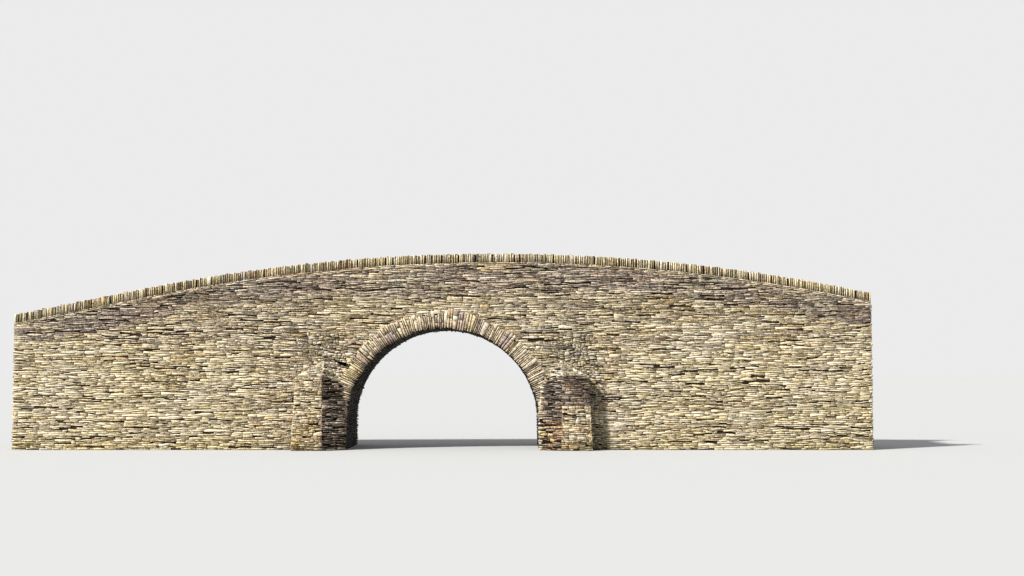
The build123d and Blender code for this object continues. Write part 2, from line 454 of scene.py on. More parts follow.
def extent(outline):
    """The width and height of an outline."""
    us, vs = zip(*outline)
    return max(us) - min(us), max(vs) - min(vs)


def middle_of(outline):
    """The mean corner of an outline."""
    us, vs = zip(*outline)
    return sum(us) / len(us), sum(vs) / len(vs)


def tint_at(rng, tints, u, v, spread=SPREAD):
    """A stone's own colour: one of the tints, which gather in patches, toned towards the rest."""
    weights = [weight * math.exp(GATHERING * drift(u, v, i)) for i, (_, weight) in enumerate(tints)]
    chosen = rng.choices([tint for tint, _ in tints], weights)[0]
    whole = sum(weights)
    around = [sum(tint[c] * weight for (tint, _), weight in zip(tints, weights)) / whole for c in range(3)]
    light = min(1.0 + 2 * spread, max(0.4, rng.lognormvariate(0.0, spread)))
    return tuple(((1 - OWN_TINT) * around[c] + OWN_TINT * chosen[c]) * light for c in range(3))


def stone(rng, outline, tint, proud=PROUD):
    """One stone: its outline, how far it stands out, how its face leans, and its colour."""
    width, rise = extent(outline)
    lean = (rng.uniform(-0.014, 0.014) / max(width, 0.08), rng.uniform(-0.016, 0.018) / max(rise, 0.06))
    return {"outline": outline, "height": rng.uniform(*proud), "lean": lean, "tint": tint}


def box_lines(box):
    """Lines that part what lies over, under and beside a tilted box from the box itself."""
    centre_u, centre_v, length, height, tilt = box
    cos, sin = math.cos(tilt), math.sin(tilt)
    lines = []
    for axis_u, axis_v, half in ((sin, cos, height / 2), (cos, -sin, length / 2)):
        for sign in (-1, 1):
            normal_u, normal_v = sign * axis_u, sign * axis_v
            lines.append((normal_u, normal_v, normal_u * centre_u + normal_v * centre_v - half))
    return lines


def around_box(outline, box):
    """The parts of an outline over, under and beside a tilted box."""
    parts = []
    for normal_u, normal_v, reach in box_lines(box):
        parts.append(clipped(outline, normal_u, normal_v, reach))
        outline = clipped(outline, -normal_u, -normal_v, -reach)
        if len(outline) < 3:
            break
    return [part for part in parts if len(part) > 2]


def boxed_stone(rng, box, tint, proud=PROUD):
    """A stone that fills a tilted box, with worn corners and uneven edges."""
    centre_u, centre_v, length, height, tilt = box
    cos, sin = math.cos(tilt), math.sin(tilt)
    gap, worn = 0.006, 0.2 * height
    half_length, half_height = length / 2 - gap, height / 2 - gap
    corners = []
    for along, across in ((-1, -1), (0, -1), (1, -1), (1, 0), (1, 1), (0, 1), (-1, 1), (-1, 0)):
        worn_here = rng.uniform(0.2, 1.0) * worn if along and across else 0.0
        a = along * (half_length - worn_here) + (0 if along else rng.uniform(-0.2, 0.2) * length)
        b = across * half_height + rng.uniform(-0.07, 0.07) * height
        corners.append((centre_u + a * cos + b * sin, centre_v - a * sin + b * cos))
    return stone(rng, corners, tint, proud)


def lay(
    rng, stretches, limits, tints, proud=PROUD, warped=True, boxes=(), spread=SPREAD, bed_joint=BED_JOINT
):
    """Stones for these stretches of coursing, cut off where the wall ends and round these boxes.

    limits(u, v) gives the lines that bound a stone centred there, or None where there is no stone.
    tints is a list of named tints or a function of the place that gives one.
    """
    stones, before, kin = [], (0.0, 0.0), None
    for start, end, low, high in stretches:
        outline = stone_outline(rng, start, end, low, high, warped, bed_joint)
        if outline is None:
            continue
        lines = limits(*middle_of(outline))
        if lines is None:
            continue
        for line in lines:
            outline = clipped(outline, *line)
            if len(outline) < 3:
                break
        parts = [outline] if len(outline) > 2 else []
        for box in boxes:
            parts = [piece for part in parts for piece in around_box(part, box)]
        for part in parts:
            part = tidied(part)
            if len(part) < 3 or min(extent(part)) < LEAST_CUT:
                continue
            place = middle_of(part)
            choice = tints(*place) if callable(tints) else tints
            if choice is kin and abs(place[1] - before[1]) < 0.02 and rng.random() < ALIKE:
                light = rng.uniform(0.84, 1.18)
                tint = tuple(light * rng.uniform(0.98, 1.02) * c for c in stones[-1]["tint"])
            else:
                tint = tint_at(rng, choice, *place, spread)
            stones.append(stone(rng, part, tint, proud))
            before, kin = place, choice
    return stones


def coursed(rng, across, up, rise_at, sizes_at, limits, tints, **laying):
    """Stones of coursed rubble between two places across the drawing and two places up it."""
    lines = beds(rng, *up, rise_at)
    return lay(rng, rubble(rng, *across, lines, sizes_at), limits, tints, **laying)


# Making meshes of the stones

# Each ring of points is drawn in, stands at a share of the stone's height plus an offset, and has a shade:
# painted shade, with dirt, that darkens the tint towards the joints and the back
BEDDED = {"rings": ((0.0, 0.45, 0.0, 0.8), (EDGE_WEAR, 1.0, 0.0, 1.0)), "back": 0.24}


def through_profile(depth):
    """A slab that shows at both ends and along its length."""
    rings = (
        (EDGE_WEAR, -0.35, -depth, 1.0),
        (0.0, -0.1, -depth, 0.8),
        (0.004, 0.0, -0.62 * depth, 0.95),
        (-0.003, 0.0, -0.3 * depth, 1.0),
        (0.0, 0.5, 0.0, 0.8),
        (EDGE_WEAR, 1.0, 0.0, 1.0),
    )
    return {"rings": rings, "back": 0.0, "wear": (1.0, 0.8)}


def deep_profile(depth):
    """A stone bedded deep in the wall, whose inner end shows."""
    # The inner end is darkened to 0.2 of its tint: painted shade under the arch, with damp
    rings = ((0.0, 0.0, -depth, 0.2), (0.0, 0.5, 0.0, 0.65), (EDGE_WEAR, 1.0, 0.0, 1.0))
    return {"rings": rings, "back": 0.0, "wear": (1.0, 0.7)}


def stone_triangles(corners, rings):
    """The triangles of one stone: bands between its rings and a fan over each end."""
    faces = []
    for ring in range(rings - 1):
        for i in range(corners):
            j = (i + 1) % corners
            a, b = ring * corners + i, ring * corners + j
            c, d = b + corners, a + corners
            faces += [(a, b, c), (a, c, d)]
    back, front, last = rings * corners, rings * corners + 1, (rings - 1) * corners
    for i in range(corners):
        j = (i + 1) % corners
        faces += [(back, j, i), (front, last + i, last + j)]
    return np.array(faces, np.int64)


def group_geometry(group, corners, profile, roughness, noise):
    """Points in the drawing's own axes, colours and triangles of stones with the same number of corners."""
    of_all = {key: np.array([one[key] for one in group]) for key in ("outline", "height", "lean", "tint")}
    outline, height, lean, tint = of_all["outline"], of_all["height"][:, None], of_all["lean"], of_all["tint"]
    middle = outline.mean(axis=1, keepdims=True)
    half = np.maximum(np.abs(outline - middle).max(axis=1, keepdims=True), 1e-4)
    craggy = roughness * np.clip(half.min(axis=2) / ROUGHEST_HALF_RISE, 0.5, 1.3)
    inward = np.clip((middle - outline) / (0.72 * half), -1, 1)
    rings, shades = [], []
    for drawn_in, share, offset, shade in profile["rings"]:
        inset = np.minimum(drawn_in, 0.33 * half) * profile.get("wear", (0.5, 1.0))
        points = outline + inward * inset
        tilt = ((points - middle) * lean[:, None, :]).sum(axis=2)
        rise = share * (height + tilt) + offset
        if drawn_in > 0.005:
            rise = rise + craggy * noise.normal(0, 1, rise.shape)
        rings.append(np.concatenate([points, rise[:, :, None]], axis=2))
        shades.append(np.full((len(group), corners), shade))
    ends = []
    for ring, push, depth in ((rings[0], 0.0, profile["back"]), (rings[-1], 1.0, 0.0)):
        centre = ring.mean(axis=1)
        centre[:, 2] += push * (0.003 + craggy[:, 0] * noise.normal(0, 1, len(group))) - depth
        ends.append(centre[:, None, :])
    points = np.concatenate([*rings, *ends], axis=1)
    # The back point and the rings darken the tint by their shades: painted shade in the joints, with dirt
    shade = np.concatenate([*shades, np.full((len(group), 1), 0.6), np.ones((len(group), 1))], axis=1)
    colour = tint[:, None, :] * shade[:, :, None]
    count = points.shape[1]
    firsts = (np.arange(len(group)) * count)[:, None, None]
    triangles = stone_triangles(corners, len(profile["rings"]))[None] + firsts
    return points.reshape(-1, 3), colour.reshape(-1, 3), triangles.reshape(-1, 3)


def handedness(place):
    """1 where the drawing's two axes and its outward height make a right-handed set, -1 where they don't."""
    step = 1e-3
    start = np.array([0.3, 0.4, 0.0])
    samples = start + step * np.array([[0, 0, 0], [1, 0, 0], [0, 1, 0], [0, 0, 1]])
    origin, along, up, out = place(samples)
    return math.copysign(1, np.dot(np.cross(along - origin, up - origin), out - origin))


def added(name, data):
    """A new object of the scene, at the origin."""
    holder = bpy.data.objects.new(name, data)
    bpy.context.scene.collection.objects.link(holder)
    return holder


def mesh_piece(name, points, triangles, colours, laid):
    """An object with a colour and a place in the drawing at each of its points."""
    mesh = bpy.data.meshes.new(name)
    mesh.vertices.add(len(points))
    mesh.vertices.foreach_set("co", points.astype(np.float32).ravel())
    mesh.loops.add(3 * len(triangles))
    mesh.loops.foreach_set("vertex_index", triangles.astype(np.int32).ravel())
    mesh.polygons.add(len(triangles))
    mesh.polygons.foreach_set("loop_start", np.arange(0, 3 * len(triangles), 3, dtype=np.int32))
    mesh.update(calc_edges=True)
    tint = mesh.color_attributes.new(name="tint", type="FLOAT_COLOR", domain="POINT")
    rgba = np.ones((len(points), 4), np.float32)
    rgba[:, :3] = colours
    tint.data.foreach_set("color", rgba.ravel())
    drawn = mesh.attributes.new(name="laid", type="FLOAT_VECTOR", domain="POINT")
    drawn.data.foreach_set("vector", laid.astype(np.float32).ravel())
    return added(name, mesh)


def stone_piece(name, stones, place, slot, material, seed, profile=BEDDED, roughness=ROUGHNESS):
    """A piece made of many stones, each one closed, put in place by place(points)."""
    noise = np.random.default_rng(seed)
    groups = {}
    for one in stones:
        groups.setdefault(len(one["outline"]), []).append(one)
    points, colours, triangles, start = [], [], [], 0
    for corners, group in sorted(groups.items()):
        new_points, new_colours, new_triangles = group_geometry(group, corners, profile, roughness, noise)
        points.append(new_points)
        colours.append(new_colours)
        triangles.append(new_triangles + start)
        start += len(new_points)
    triangles = np.concatenate(triangles)
    if handedness(place) < 0:
        triangles = triangles[:, ::-1]
    laid = np.concatenate(points)
    points = place(laid)
    points[:, 2] = np.maximum(points[:, 2], 0.0)
    piece = mesh_piece(name, points, triangles, np.concatenate(colours), laid)
    piece.data.materials.append(material)
    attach(piece, BODY)


# Drawings of each surface and where they lie in space


def on_plane(origin, along, up, out):
    """Any flat face, from its own axes."""

    def place(points):
        return np.array(origin) + points @ np.array([along, up, out])

    return place


def on_face(face):
    """Front or rear wall: across the drawing to the right as seen from outside, and up."""
    return on_plane((0, face * HALF_WIDTH, 0), (-face, 0, 0), (0, 0, 1), (0, face, 0))


def on_parapet_inside(face):
    """The side of a parapet that faces the road."""
    return on_plane((0, face * ROAD_HALF_WIDTH, 0), (face, 0, 0), (0, 0, 1), (0, -face, 0))


def on_end(side):
    """The plain end of the bridge, across and up."""
    return on_plane((side * HALF_LENGTH, 0, 0), (0, side, 0), (0, 0, 1), (side, 0, 0))


def under_coping(face, y_at_face, outward):
    """A strip under the coping: along the road, and up from the line where the strip begins."""

    def place(points):
        u, v, h = points.T
        x = -face * u
        z = hump(x) - COPING_HEIGHT - LEVELLING_COURSE + v
        return np.stack([x, face * y_at_face + outward * h, z], axis=1)

    return place


def on_ring(face):
    """The face of the arch: round the drawing's middle circle, and outwards from the intrados."""

    def place(points):
        u, v, h = points.T
        angle = u / RING_MIDDLE
        radius = HALF_SPAN + v
        x, z = radius * np.cos(angle), SPRINGING + radius * np.sin(angle)
        return np.stack([x, face * (HALF_WIDTH + h), z], axis=1)

    return place


def on_waterway(points):
    """The lining of the opening: along the water, and up one jamb, over the vault and down the other."""
    u, v, h = points.T
    angle = np.clip(v / HALF_SPAN, 0, math.pi)
    radius = HALF_SPAN - h
    below = np.minimum(v, 0) + np.minimum(INTRADOS - v, 0)
    return np.stack([radius * np.cos(angle), u, SPRINGING + radius * np.sin(angle) + below], axis=1)


# The face walls

# Where a buttress hides the wall: from X, to X, and up to what height
BEHIND_BUTTRESS = (HALF_SPAN + 0.35, HALF_SPAN + 2.0, 2.75)
RING_LAP = 0.2
ALONG = (-HALF_LENGTH, HALF_LENGTH)
ACROSS = (-HALF_WIDTH, HALF_WIDTH)
OVER_GROUND = (0.0, -1.0, -0.002)
LEVEL_BAND = (5.72, 6.52)
BAND_MIDDLE = 0.5
BAND_HALF_LENGTH = 4.6

# Larger stones that stand out in the band of the front face: X, Z, length, height, tilt and paint
BAND_STONES = (
    ((0.51, 6.40, 0.70, 0.19, 0.0), "cream"),
    ((-0.72, 6.31, 0.36, 0.14, 0.0), "lichen"),
    ((-0.02, 6.31, 0.32, 0.10, 0.0), "cream"),
    ((-0.68, 6.14, 1.10, 0.11, 0.02), "straw"),
    ((0.62, 6.19, 0.62, 0.12, 0.03), "buff"),
    ((1.78, 6.10, 0.44, 0.18, 0.0), "ochre"),
    ((2.38, 5.96, 0.46, 0.12, -0.04), "purple_grey"),
    ((-0.02, 5.98, 0.44, 0.08, 0.0), "rose"),
    ((-1.75, 6.22, 0.5, 0.13, 0.02), "buff"),
    ((2.9, 6.3, 0.6, 0.12, -0.03), "cream"),
    ((1.5, 6.34, 0.55, 0.1, 0.02), "buff"),
)
# The bed over the band, and where it has opened over the crown: X, Z, length, height and tilt
BAND_BED = (BAND_MIDDLE, LEVEL_BAND[1], 2 * BAND_HALF_LENGTH, 0.016, 0.0)
CRACK = (0.88, LEVEL_BAND[1] + 0.01, 1.36, 0.06, 0.085)
# Where the top of the parapet is bleached and ruddy, right of the crown: from X, to X, and from what height
BLEACHED = (1.5, 2.9, 7.6)
# How high the corners of the front jambs carry painted shadow on the left and painted sunlight on the right
JAMB_CORNER_TOP = SPRINGING - 0.25
# Beyond this distance from the middle, the wings carry painted sunlight low down
SUNLIT_FROM = 8


def hump_line(x_from_u, u, depth):
    """The line of a layer of the hump, as it bounds a drawing near a place."""
    ahead = hump(x_from_u * (u + 0.1), depth)
    behind = hump(x_from_u * (u - 0.1), depth)
    slope = (ahead - behind) / 0.2
    return (-slope, 1.0, hump(x_from_u * u, depth) - slope * u)


def in_band(x, z):
    """Whether a place lies in the level band of larger stones over the arch."""
    return abs(x - BAND_MIDDLE) < BAND_HALF_LENGTH and LEVEL_BAND[0] < z < LEVEL_BAND[1]


def in_parapet(x, z):
    """Whether a place lies in the darker walling of the parapet."""
    if abs(x - BAND_MIDDLE) < BAND_HALF_LENGTH:
        return z > LEVEL_BAND[1]
    return z > hump(x, PARAPET_FOOT) + 0.15 * drift(x, z, 5)


def beside_haunch(x, z):
    """Whether a place lies in the small broken rubble over and beside a buttress."""
    return 4.2 < abs(x) < 6.6 + 0.4 * drift(x, z, 3) and z < 4.9 + 0.3 * drift(x, z, 4)


def ring_line(u, v):
    """The line past which the stones of the wall hide behind those of the ring, beside or over the arch."""
    tails = HALF_SPAN + RING_DEPTH - RING_LAP
    rise = v - SPRINGING
    if rise < 0.85 * tails:
        reach_u, reach_v = math.copysign(math.sqrt(tails**2 - rise**2), u), rise
    else:
        distance = math.hypot(u, rise)
        reach_u, reach_v = u * tails / distance, rise * tails / distance
    normal_u, normal_v = -reach_u / tails, -reach_v / tails
    return (normal_u, normal_v, normal_v * SPRINGING - tails)


def face_limits(face):
    """The lines that bound the stones of a face wall, up to the levelling course of its parapet."""

    def limits(u, v):
        near, far, top = BEHIND_BUTTRESS
        if near < abs(u) < far and v < top:
            return None
        lines = [hump_line(-face, u, COPING_HEIGHT + LEVELLING_COURSE)]
        if v > SPRINGING:
            lines.append(ring_line(u, v))
        else:
            lines.append((-math.copysign(1, u), 0.0, -HALF_SPAN + CORNER_LAP / 2))
        return [*lines, OVER_GROUND, *between_sides(HALF_LENGTH + CORNER_LAP)]

    return limits


def face_tints(face):
    """Pale walling, paler in the band over the arch, with painted sunlight low on the wings, and darker in
    the parapet. The corners of the front jambs carry painted shadow on the left and painted sunlight on the
    right.
    """

    def tints(u, v):
        x = -face * u
        # Painted shadow on the corner of the left jamb, painted sunlight on the right one
        if face == FRONT and abs(x) < BEHIND_BUTTRESS[0] and v < JAMB_CORNER_TOP:
            return PAINTED_SUNLIGHT_TINTS if x > 0 else SHADED_TINTS
        if in_parapet(x, v):
            start, end, foot = BLEACHED
            return RUDDY_TINTS if face == FRONT and start < x < end and v > foot else PARAPET_TINTS
        if in_band(x, v):
            return BAND_TINTS
        if beside_haunch(x, v):
            return FLECKED_TINTS
        sunlit = abs(x) > SUNLIT_FROM and v < 4.4 + 0.5 * drift(x, v, 6)
        return SUNLIT_TINTS if sunlit else WALL_TINTS

    return tints


def face_sizes(face):
    """Long stones in the parapet and in the band over the arch, and small ones beside the haunches."""

    def sizes_at(u, v):
        x = -face * u
        if in_parapet(x, v):
            return PARAPET_SIZES
        if in_band(x, v):
            return BAND_SIZES
        return HAUNCH_SIZES if beside_haunch(x, v) else WALL_SIZES

    return sizes_at


def course_rise(level):
    """The rise of a course of a face wall: thin in the parapet, and tall in the band over the arch."""
    low, high = LEVEL_BAND
    if level > high - 0.1:
        return PARAPET_RISE
    return BAND_RISE if level > low else WALL_RISE


def part_of_face(x, z):
    """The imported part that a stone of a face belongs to."""
    side = SIDES[math.copysign(1, x)]
    beyond_arch = abs(x) > ABUTMENT_BACK
    if z > hump(x, PARAPET_FOOT):
        return f"{side if beyond_arch else 'crest'}_parapet"
    return f"{side}_{'wing_wall' if beyond_arch else 'spandrel'}"


def face_wall(face, walling, parapets):
    """The stones of a face and of the outside of its parapet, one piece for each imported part."""
    rng = seeded(11, face)
    up = (0.0, CREST_HEIGHT - COPING_HEIGHT)
    boxes = [BAND_BED]
    if face == FRONT:
        boxes = [*HOLE_GAPS, CRACK, BAND_BED, *(box for box, _ in BAND_STONES)]
    limits, tints = face_limits(face), face_tints(face)
    stones = coursed(rng, ALONG, up, course_rise, face_sizes(face), limits, tints, boxes=boxes)
    if face == FRONT:
        for box, name in BAND_STONES:
            stones.append(boxed_stone(rng, box, blended(PAINTS[name], PAINTS["buff"], 0.35)))
    parts = {}
    for one in stones:
        u, v = middle_of(one["outline"])
        parts.setdefault(part_of_face(-face * u, v), []).append(one)
    for name, group in sorted(parts.items()):
        finish = ("parapet_stone", parapets) if name.endswith("parapet") else ("walling_stone", walling)
        stone_piece(f"{FACES[face]}_{name}_stones", group, on_face(face), *finish, face + 3)


def parapet_inside(face, material):
    """The stones on the road side of a parapet."""
    rng = seeded(21, face)

    def limits(u, v):
        top = hump_line(face, u, COPING_HEIGHT + LEVELLING_COURSE)
        slope_u, _, foot = hump_line(face, u, PARAPET_HEIGHT + 0.02)
        if v > hump(face * u, COPING_HEIGHT) or v < hump(face * u, PARAPET_HEIGHT + 0.1):
            return None
        return (top, (-slope_u, -1.0, -foot), *between_sides(HALF_LENGTH + CORNER_LAP))

    up = (hump(-HALF_LENGTH, PARAPET_HEIGHT), CREST_HEIGHT - COPING_HEIGHT)
    rise_at, sizes_at = everywhere(INNER_RISE), everywhere(INNER_SIZES)
    stones = coursed(rng, ALONG, up, rise_at, sizes_at, limits, PARAPET_TINTS, proud=INNER_PROUD)
    name = f"{FACES[face]}_parapet_inner_stones"
    stone_piece(name, stones, on_parapet_inside(face), "parapet_stone", material, face + 7)


def levelling_course(face, material):
    """The thin slabs that level each parapet for its coping, outside and inside."""
    rng = seeded(23, face)
    limits = everywhere(between_sides(HALF_LENGTH))

    def tints(u, v):
        start, end, _ = BLEACHED
        return RUDDY_TINTS if face == FRONT and start - 0.5 < u < end else LEVELLING_TINTS

    for which, y_at_face, outward in (("outer", HALF_WIDTH, face), ("inner", ROAD_HALF_WIDTH, -face)):
        lines = [Bed(rng, 0.0, 0.0), Bed(rng, 0.5 * LEVELLING_COURSE, 0.012), Bed(rng, LEVELLING_COURSE, 0.0)]
        stretches = rubble(rng, *ALONG, lines, everywhere(LEVELLING_SIZES))
        stones = lay(rng, stretches, limits, tints, proud=LEVELLING_PROUD, warped=False)
        name = f"{FACES[face]}_levelling_course_{which}"
        place = under_coping(face, y_at_face, outward)
        stone_piece(name, stones, place, "parapet_stone", material, face + 5)


# The arch

# Stones of the front ring that stand out: from X, to X, where they are cut above the intrados, and paints
MARKED_VOUSSOIRS = (
    (-2.5, -2.2, (-0.03, 0.42, 0.78), ("purple_grey", "buff")),
    (-0.48, -0.35, (-0.02, 0.44, 0.76), ("rose", "lichen")),
    (0.04, 0.19, (-0.02, 0.2, 0.7), ("stone_grey", "lichen")),
    (0.19, 0.42, (0.0, 0.42, 0.84), ("buff", "ruddy")),
    (0.42, 0.64, (-0.03, 0.33, 0.55, 0.8), ("rose", "lichen", "purple_grey")),
    (0.64, 0.86, (-0.04, 0.4, 0.76), ("rose", "purple_grey")),
    (1.1, 1.33, (-0.01, 0.72), ("straw",)),
    (1.48, 1.62, (0.01, 0.76), ("purple_grey",)),
    (1.68, 1.92, (0.03, 0.62), ("slab_grey",)),
    (2.55, 2.92, (-0.02, 0.5, 0.78), ("purple_grey", "stone_grey")),
)
LEAST_SPLIT_VOUSSOIR = 0.115
OPENED_REACH = 0.2
RING_JOINT = (0.01, 0.032)
RING_BEDDING = 0.42
LINING_END = HALF_WIDTH - 0.4
# Where the ring passes the hole beside the left haunch, and how deep its stones are there
HOLE_ANGLE = math.atan2(HOLE_LEVEL - 0.05 - SPRINGING, HOLE_CENTRE + 0.13)
HOLE_VOUSSOIR_DEPTH = 0.55


def ring_place(x):
    """The place round the ring's middle circle of a point of the upper arch at X."""
    return RING_MIDDLE * math.acos(x / RING_MIDDLE)


def ring_joints(rng, face):
    """The joints round a ring, and the marked stones that begin at some of them."""
    levels = [place * math.pi * RING_MIDDLE for place in uneven_joints(VOUSSOIR_COUNT, VOUSSOIR_WIDTHS)]
    marked = {}
    if face == FRONT:
        for x_low, x_high, cuts, names in MARKED_VOUSSOIRS:
            start, end = ring_place(x_high), ring_place(x_low)
            levels = [level for level in levels if level in marked or not start - 0.05 < level < end + 0.05]
            levels += [start, end]
            marked[start] = (cuts, names)
    levels = sorted(set(levels))
    joints = []
    for i, level in enumerate(levels):
        free = 0 < i < len(levels) - 1
        slope = rng.uniform(-0.04, 0.04) if free else 0.0
        joints.append(Bed(rng, level, 0.012 if free else 0.0, slope, RING_DEPTH / 2))
    return joints, marked


def tapered(outline, share):
    """A voussoir's outline, narrower where the joints have opened near the intrados."""
    middle = middle_of(outline)[0]
    narrowed = []
    for u, v in outline:
        open_share = share * max(0.0, 1 - max(v, 0.0) / OPENED_REACH)
        narrowed.append((u + (middle - u) * open_share, v))
    return narrowed


def ring_tints(face, angle):
    """Straw coloured stones low on the left haunch of the front, and mixed ones elsewhere."""
    return STRAW_TINTS if face == FRONT and 2.5 < angle < 2.78 else RING_TINTS


def marked_tint(rng, name):
    """The colour of a marked voussoir: all but white where it is bleached."""
    bleached = name == "lichen"
    light = (3.0 if bleached else 1.2) * rng.uniform(0.85, 1.15)
    return tuple(light * c for c in blended(PAINTS[name], PAINTS["rose"], 0.0 if bleached else 0.15))


def split_along(rng, low, high):
    """The joints that part a wide voussoir into two or three slabs side by side."""
    count = 2 + (high.level - low.level > 0.25)
    shares = [(k + rng.uniform(-0.2, 0.2)) / count for k in range(1, count)]
    turned = [(share, share + rng.uniform(-0.12, 0.12)) for share in shares]
    return [Between(low, high, 0.0, RING_DEPTH, pair) for pair in turned]


def voussoir_cuts(rng, number, at_hole):
    """Where a plain voussoir ends above the intrados, and where some of them are cut in two."""
    inner = rng.uniform(-0.055, 0.03)
    outer = VOUSSOIR_DEPTHS[number % len(VOUSSOIR_DEPTHS)] + rng.uniform(-0.14, 0.04)
    if at_hole:
        outer = HOLE_VOUSSOIR_DEPTH
    cuts = [inner, outer]
    if rng.random() < 0.25:
        cuts.insert(1, inner + (outer - inner) * rng.uniform(0.3, 0.75))
    return cuts


def voussoirs(rng, face):
    """The stones of one face of the arch ring: radial slabs, some split in two along or across."""
    joints, marked = ring_joints(rng, face)
    whole = {level for level, (_, names) in marked.items() if {"lichen", "slab_grey"} & set(names)}
    stones = []
    for i, (low, high) in enumerate(zip(joints, joints[1:])):
        angle = (low.level + high.level) / 2 / RING_MIDDLE
        at_hole = face == FRONT and abs(angle - HOLE_ANGLE) < 0.03
        edges = [low, high]
        wide = high.level - low.level > LEAST_SPLIT_VOUSSOIR
        if low.level not in whole and wide and rng.random() < 0.85:
            edges[1:1] = split_along(rng, low, high)
        marked_cuts, names = marked.get(low.level, (None, None))
        for right, left in zip(edges, edges[1:]):
            cuts = marked_cuts or voussoir_cuts(rng, i, at_hole)
            for number, (bottom, top) in enumerate(zip(cuts, cuts[1:])):
                slant = rng.uniform(-0.02, 0.02)
                ends = (bottom - slant, bottom + slant), (top - slant, top + slant)
                outline = stone_outline(rng, *ends, right, left, warped=False, bed_joint=RING_JOINT)
                if outline is None:
                    continue
                turned = [(u, v) for v, u in reversed(outline)]
                outline = tidied(tapered(turned, rng.uniform(0.15, 0.45)))
                tint = tint_at(rng, ring_tints(face, angle), RING_MIDDLE * math.cos(angle), bottom)
                if names:
                    tint = marked_tint(rng, names[number])
                stones.append(stone(rng, outline, tint, RING_PROUD))
    return stones


def arch_ring(face, material):
    """The ring of voussoirs on one face, bedded deep enough to show on the soffit."""
    stones = voussoirs(seeded(31, face), face)
    name = f"{FACES[face]}_arch_ring_stones"
    stone_piece(name, stones, on_ring(face), "arch_stone", material, face + 9, deep_profile(RING_BEDDING))


def waterway_lining(material):
    """The soffit and the jambs behind the voussoirs, laid in courses along the water."""
    rng = random.Random(41)

    def limits(u, v):
        at_jamb = v < 0 or v > INTRADOS
        edge = HALF_WIDTH + CORNER_LAP if at_jamb else LINING_END
        return (*between_sides(edge), (0.0, -1.0, SPRINGING), (0.0, 1.0, INTRADOS + SPRINGING))

    up = (-SPRINGING, INTRADOS + SPRINGING)
    rise_at, sizes_at = everywhere(LINING_RISE), everywhere(LINING_SIZES)
    stones = coursed(rng, ACROSS, up, rise_at, sizes_at, limits, SHADED_SOFFIT_TINTS, proud=LINING_PROUD)
    stone_piece("waterway_lining_stones", stones, on_waterway, "arch_stone", material, 17)


# Buttresses

SPLAY_JOINT = (0.016, 0.042)
LEAST_FACE = 0.15


def flat_faces(node):
    """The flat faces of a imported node, each as its outward normal and its corner points."""
    mesh = frame["nodes"][node].data
    found = []
    for polygon in mesh.polygons:
        normal = polygon.normal
        corners = [mesh.vertices[i].co.copy() for i in polygon.vertices]
        for known, points, areas in found:
            if known.dot(normal) > 0.999 and abs(known.dot(corners[0] - points[0])) < 0.003:
                points.extend(corners)
                areas.append(polygon.area)
                break
        else:
            found.append((normal.copy(), corners, [polygon.area]))
    return [(normal, points) for normal, points, areas in found if sum(areas) > LEAST_FACE]


def hull_lines(points, grow):
    """The lines that bound the convex outline of flat points, moved out by grow."""
    ordered = sorted(set((round(u, 4), round(v, 4)) for u, v in points))

    def turn(o, a, b):
        return (a[0] - o[0]) * (b[1] - o[1]) - (a[1] - o[1]) * (b[0] - o[0])

    def chain(sequence):
        kept = []
        for point in sequence:
            while len(kept) > 1 and turn(kept[-2], kept[-1], point) <= 0:
                kept.pop()
            kept.append(point)
        return kept[:-1]

    hull = chain(ordered) + chain(reversed(ordered))
    lines = []
    for (u, v), (next_u, next_v) in zip(hull, hull[1:] + hull[:1]):
        length = math.hypot(next_u - u, next_v - v)
        normal = ((next_v - v) / length, -(next_u - u) / length)
        lines.append((*normal, normal[0] * u + normal[1] * v + grow))
    return lines


def buttress_tints(side, face, splayed, where):
    """Fronts in their own tints, and splays darkened with painted shade. The right front one has painted
    shadow high on its front and splay, earthy stones low on its splay, and painted sunlight on the arris by
    the jamb.
    """
    if (side, face) != (RIGHT, FRONT):
        return SHADED_SPLAY_TINTS if splayed else BUTTRESS_TINTS

    def tints(u, v):
        x, _, z = where(u, v)
        if not splayed:
            # Painted shadow high on the front
            return BUTTRESS_TINTS if z < 1.95 + 0.2 * drift(x, z, 1) else SHADED_TINTS
        # Painted sunlight on the arris by the jamb, and painted shadow above the earthy stones
        if x < HALF_SPAN + 0.14:
            return PAINTED_SUNLIGHT_TINTS
        return EARTHY_TINTS if z < 1.2 + 0.3 * drift(x, z, 2) else SHADED_TINTS

    return tints


def buttress(side, face, material):
    """The stones on each open face of a buttress."""
    rng = random.Random(51 + 2 * side + face)
    node = f"{FACES[face]}_{SIDES[side]}_buttress"
    for number, (normal, points) in enumerate(flat_faces(node)):
        if normal.z < -0.5 or normal.y * face < -0.5:
            continue
        along = Vector((0, 0, 1)).cross(normal).normalized()
        up = normal.cross(along).normalized()
        origin = points[0]
        flat = [((p - origin).dot(along), (p - origin).dot(up)) for p in points]
        across, up_it = ((min(places), max(places)) for places in zip(*flat))
        rise_at, sizes_at = everywhere(BUTTRESS_RISE), everywhere(BUTTRESS_SIZES)
        limits = everywhere(hull_lines(flat, CORNER_LAP))
        splayed = normal.x * side < -0.3
        tints = buttress_tints(side, face, splayed, lambda u, v: origin + u * along + v * up)
        if normal.z > 0.3:
            tints = ROOF_TINTS
        laying = {"spread": BUTTRESS_SPREAD}
        if splayed:
            laying = {"spread": SPLAY_SPREAD, "bed_joint": SPLAY_JOINT}
        stones = coursed(rng, across, up_it, rise_at, sizes_at, limits, tints, **laying)
        if stones:
            place = on_plane(origin, along, up, normal)
            stone_piece(f"{node}_stones_{number}", stones, place, "buttress_stone", material, 60 + number)


# Coping, ends and road

